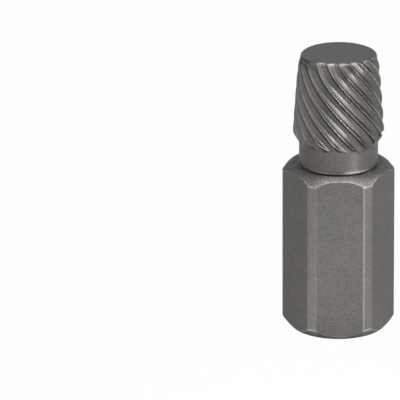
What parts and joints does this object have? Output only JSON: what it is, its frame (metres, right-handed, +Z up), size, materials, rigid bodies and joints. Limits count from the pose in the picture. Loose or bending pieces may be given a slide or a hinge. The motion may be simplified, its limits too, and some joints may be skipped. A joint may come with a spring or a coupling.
{
  "type": "screw extractor",
  "caption": "Screw extractor with a hexagonal drive end, a short turned neck and a tapered head with left-hand spiral flutes, cut from one steel bar.",
  "frame": {"origin": "centre of the end face of the hexagonal drive end, on the surface that the tool stands on", "axes": "+Z up the tool's axis towards the fluted tip; two of the six flats face +Y and -Y, two corners lie on +X and -X"},
  "size_m": [0.0176, 0.0158, 0.0446],
  "materials": {
    "tool_steel": "dark grey hardened steel with a satin, faintly mottled surface and brighter worn edges"
  },
  "bodies": {
    "root": {"screw_extractor": "tool_steel"}
  },
  "joints": []
}
